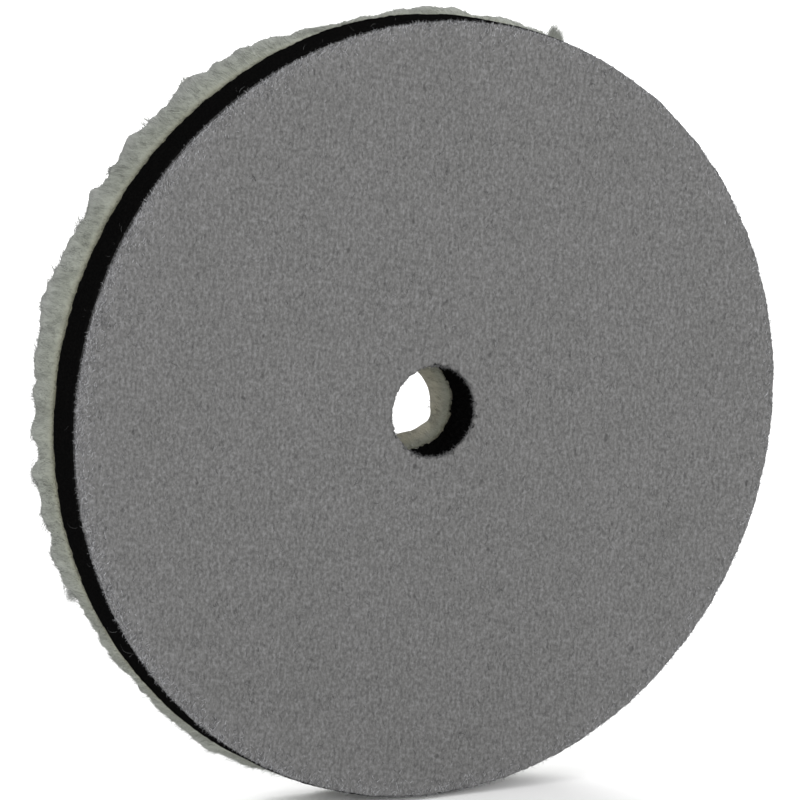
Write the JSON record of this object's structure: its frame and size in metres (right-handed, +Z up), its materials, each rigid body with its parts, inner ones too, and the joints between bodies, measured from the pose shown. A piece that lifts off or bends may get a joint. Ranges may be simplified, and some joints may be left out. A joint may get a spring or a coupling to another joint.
{
  "type": "polishing pad",
  "caption": "Round wool polishing pad: grey loop fabric face for a hook backing plate, black foam interface, deep cream wool pile and a hole through its centre.",
  "frame": {"origin": "where the pad's axis meets the loop face, in the middle of the centre hole's mouth", "axes": "+Y along the pad's axis, from the loop face to the tips of the wool; the loop face looks to -Y; +Z up, with the pad standing on its rim"},
  "size_m": [0.1544, 0.0214, 0.1544],
  "materials": {
    "loop_fabric": "brushed grey loop nap",
    "bond_film": "thin adhesive film",
    "foam": "cut closed-cell foam",
    "pile_bond": "dried yellowish adhesive",
    "knit_backing": "knitted ground cloth",
    "wool": "fluffy cut pile"
  },
  "bodies": {
    "root": {"loop_fabric": "loop_fabric", "loop_bond_film": "bond_film", "foam_core": "foam", "pile_bond_film": "pile_bond", "pile_backing": "knit_backing", "wool_pile": "wool"}
  },
  "joints": []
}
